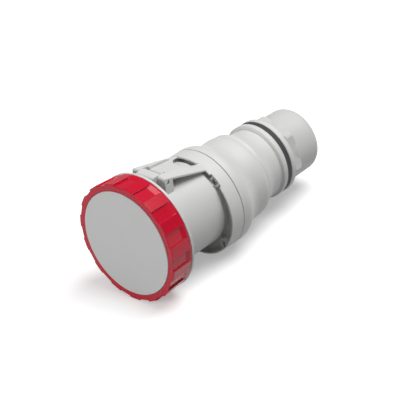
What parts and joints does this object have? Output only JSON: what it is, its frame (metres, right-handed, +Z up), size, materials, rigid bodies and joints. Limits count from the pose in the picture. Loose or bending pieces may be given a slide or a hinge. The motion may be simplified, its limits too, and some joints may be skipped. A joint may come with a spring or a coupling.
{
  "type": "industrial inline socket",
  "caption": "Splashproof inline power socket with round contacts, a sprung hinged lid, a bayonet locking ring, a stepped handle and a cable gland.",
  "frame": {"origin": "middle of the lid's flat front face, lid closed", "axes": "+Y along the socket's axis, from the lid to the cable end; +Z up, to the side that carries the lid's hinge; +X to the right seen from the front"},
  "size_m": [0.13, 0.2573, 0.1292],
  "materials": {
    "body_grey": "smooth moulded, satin",
    "lid_grey": "fine texture, matte",
    "ring_red": "smooth moulded, gloss",
    "black_rubber": "matte",
    "insulator_black": "moulded, matte",
    "brass": "turned",
    "steel": "zinc plated"
  },
  "bodies": {
    "shell": {"front_housing": "body_grey", "hinge_pin": "steel", "hinge_spring": "steel", "contact_carrier": "insulator_black", "contact_retainer": "insulator_black", "carrier_screws": "steel", "phase_contact_1": "brass", "phase_contact_2": "brass", "phase_contact_3": "brass", "neutral_contact": "brass", "earth_contact": "brass", "pilot_contact": "brass", "contact_springs": "steel", "terminal_screws": "steel", "flange_gasket": "black_rubber", "flange_screws": "steel", "flange_inserts": "brass", "rear_handle": "body_grey", "gland_gasket": "black_rubber", "gland_body": "body_grey", "gland_seal": "black_rubber", "gland_nut": "body_grey"},
    "lid": {"lid_cover": "lid_grey", "lid_gasket": "black_rubber", "hinge_collar": "body_grey"},
    "ring": {"locking_ring": "ring_red"}
  },
  "joints": [
    {"name": "lid_hinge", "type": "hinge", "parent": "shell", "child": "lid", "pos_m": [0, 0.047, 0.0533], "axis": [-1, 0, 0], "range_deg": [0, 100], "stiffness_Nm_per_rad": 0.25, "springref_deg": -114.59},
    {"name": "ring_turn", "type": "hinge", "parent": "lid", "child": "ring", "pos_m": [0, 0.015, 0], "axis": [0, 1, 0], "range_deg": [0, 41]}
  ]
}
